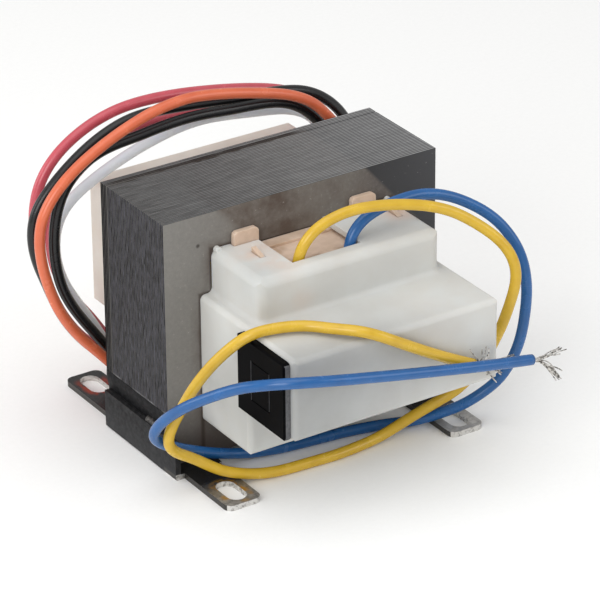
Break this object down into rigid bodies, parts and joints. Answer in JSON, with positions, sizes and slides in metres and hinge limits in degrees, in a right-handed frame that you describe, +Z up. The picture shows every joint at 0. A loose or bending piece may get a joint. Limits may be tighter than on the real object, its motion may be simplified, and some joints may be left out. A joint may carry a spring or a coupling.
{
  "type": "foot-mounted laminated-core transformer",
  "caption": "Open laminated-core control transformer on two slotted sheet-metal feet, with moulded winding covers, a built-in overload breaker and loose stripped lead wires.",
  "frame": {"origin": "on the mounting surface, under the middle of the object's box without its leads", "axes": "+Z up from the mounting surface; -Y towards the overload breaker and the low-voltage leads; +X to the right seen from that side"},
  "size_m": [0.1149, 0.1112, 0.0889],
  "materials": {
    "core_steel": "varnished silicon-steel sheets, dull grey",
    "foot_steel": "dark varnished sheet, bare at the cut edges",
    "weld_steel": "weld bead",
    "bobbin_nylon": "moulded, beige",
    "winding_copper": "enamelled wire",
    "wrap_tape": "polyester tape",
    "front_cover_nylon": "moulded, natural white",
    "rear_cover_nylon": "moulded, beige",
    "breaker_black": "moulded, black",
    "terminal_brass": "stamped",
    "yellow_insulation": "satin vinyl",
    "blue_insulation": "satin vinyl",
    "orange_insulation": "satin vinyl",
    "black_insulation": "satin vinyl",
    "white_insulation": "satin vinyl",
    "red_insulation": "satin vinyl",
    "tinned_strands": "tinned copper strands"
  },
  "bodies": {
    "root": {"e_laminations": "core_steel", "i_laminations": "core_steel", "left_foot_bracket": "foot_steel", "right_foot_bracket": "foot_steel", "bracket_welds": "weld_steel", "bobbin": "bobbin_nylon", "primary_winding": "winding_copper", "secondary_winding": "winding_copper", "primary_wrap": "wrap_tape", "secondary_wrap": "wrap_tape", "front_cover": "front_cover_nylon", "rear_cover": "rear_cover_nylon", "overload_breaker": "breaker_black", "breaker_terminals": "terminal_brass", "yellow_lead": "yellow_insulation", "blue_lead": "blue_insulation", "orange_lead": "orange_insulation", "black_lead": "black_insulation", "white_lead": "white_insulation", "red_lead": "red_insulation", "yellow_strands": "tinned_strands", "blue_strands": "tinned_strands", "orange_strands": "tinned_strands", "black_strands": "tinned_strands", "white_strands": "tinned_strands", "red_strands": "tinned_strands"}
  },
  "joints": []
}
